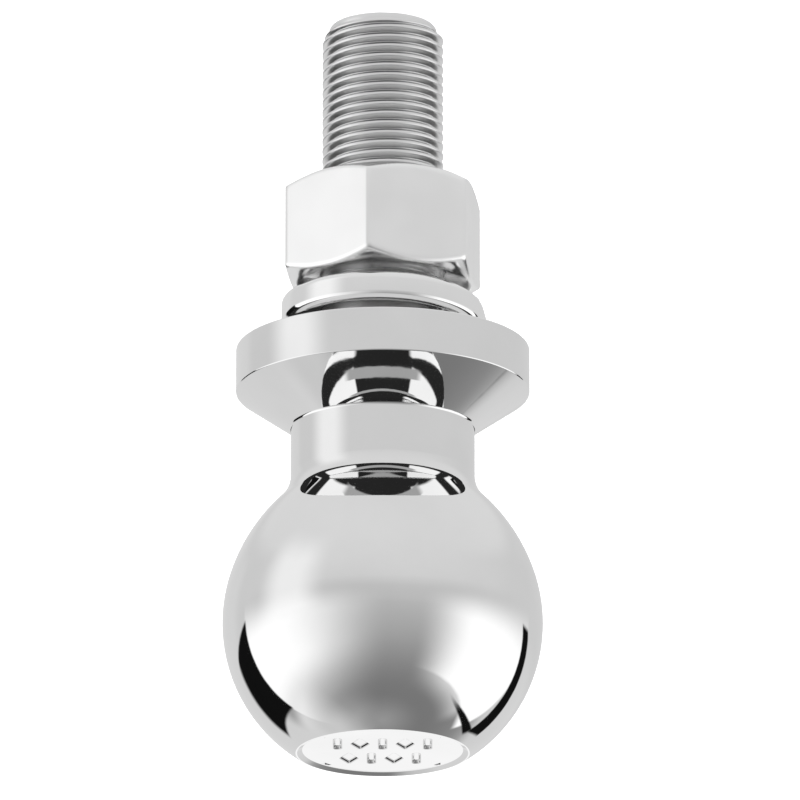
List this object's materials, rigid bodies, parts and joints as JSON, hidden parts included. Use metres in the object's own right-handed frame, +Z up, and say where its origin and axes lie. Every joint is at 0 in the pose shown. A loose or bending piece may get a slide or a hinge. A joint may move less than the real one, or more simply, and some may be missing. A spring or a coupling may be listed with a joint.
{
  "type": "tow ball",
  "caption": "Chrome-plated trailer tow ball on a flanged threaded shank, with its split spring washer and hex nut.",
  "frame": {"origin": "centre of the flange's seat, the flat face that clamps on a tow bar", "axes": "+Z up the stud's axis towards the crown of the ball; -Y towards the viewer; a nut corner at 38.2 degrees from +X"},
  "size_m": [0.05, 0.05, 0.1188],
  "materials": {
    "stud_chrome": "mirror chrome plate over polished forged steel",
    "washer_chrome": "bright chrome plate",
    "nut_chrome": "bright chrome plate"
  },
  "bodies": {
    "ball_stud": {"tow_ball": "stud_chrome"},
    "washer": {"spring_washer": "washer_chrome"},
    "nut": {"hex_nut": "nut_chrome"}
  },
  "joints": [
    {"name": "washer_slide", "type": "slide", "parent": "ball_stud", "child": "washer", "axis": [0, 0, -1], "range_m": [-0.002, 0.0535]},
    {"name": "nut_turn", "type": "hinge", "parent": "washer", "child": "nut", "pos_m": [0, 0, -0.01845], "axis": [0, 0, -1], "range_deg": [-450, 12060]}
  ],
  "couplings": [
    {"joint": "washer_slide", "follows": "nut_turn", "m_per_rad": 0.00025266}
  ]
}
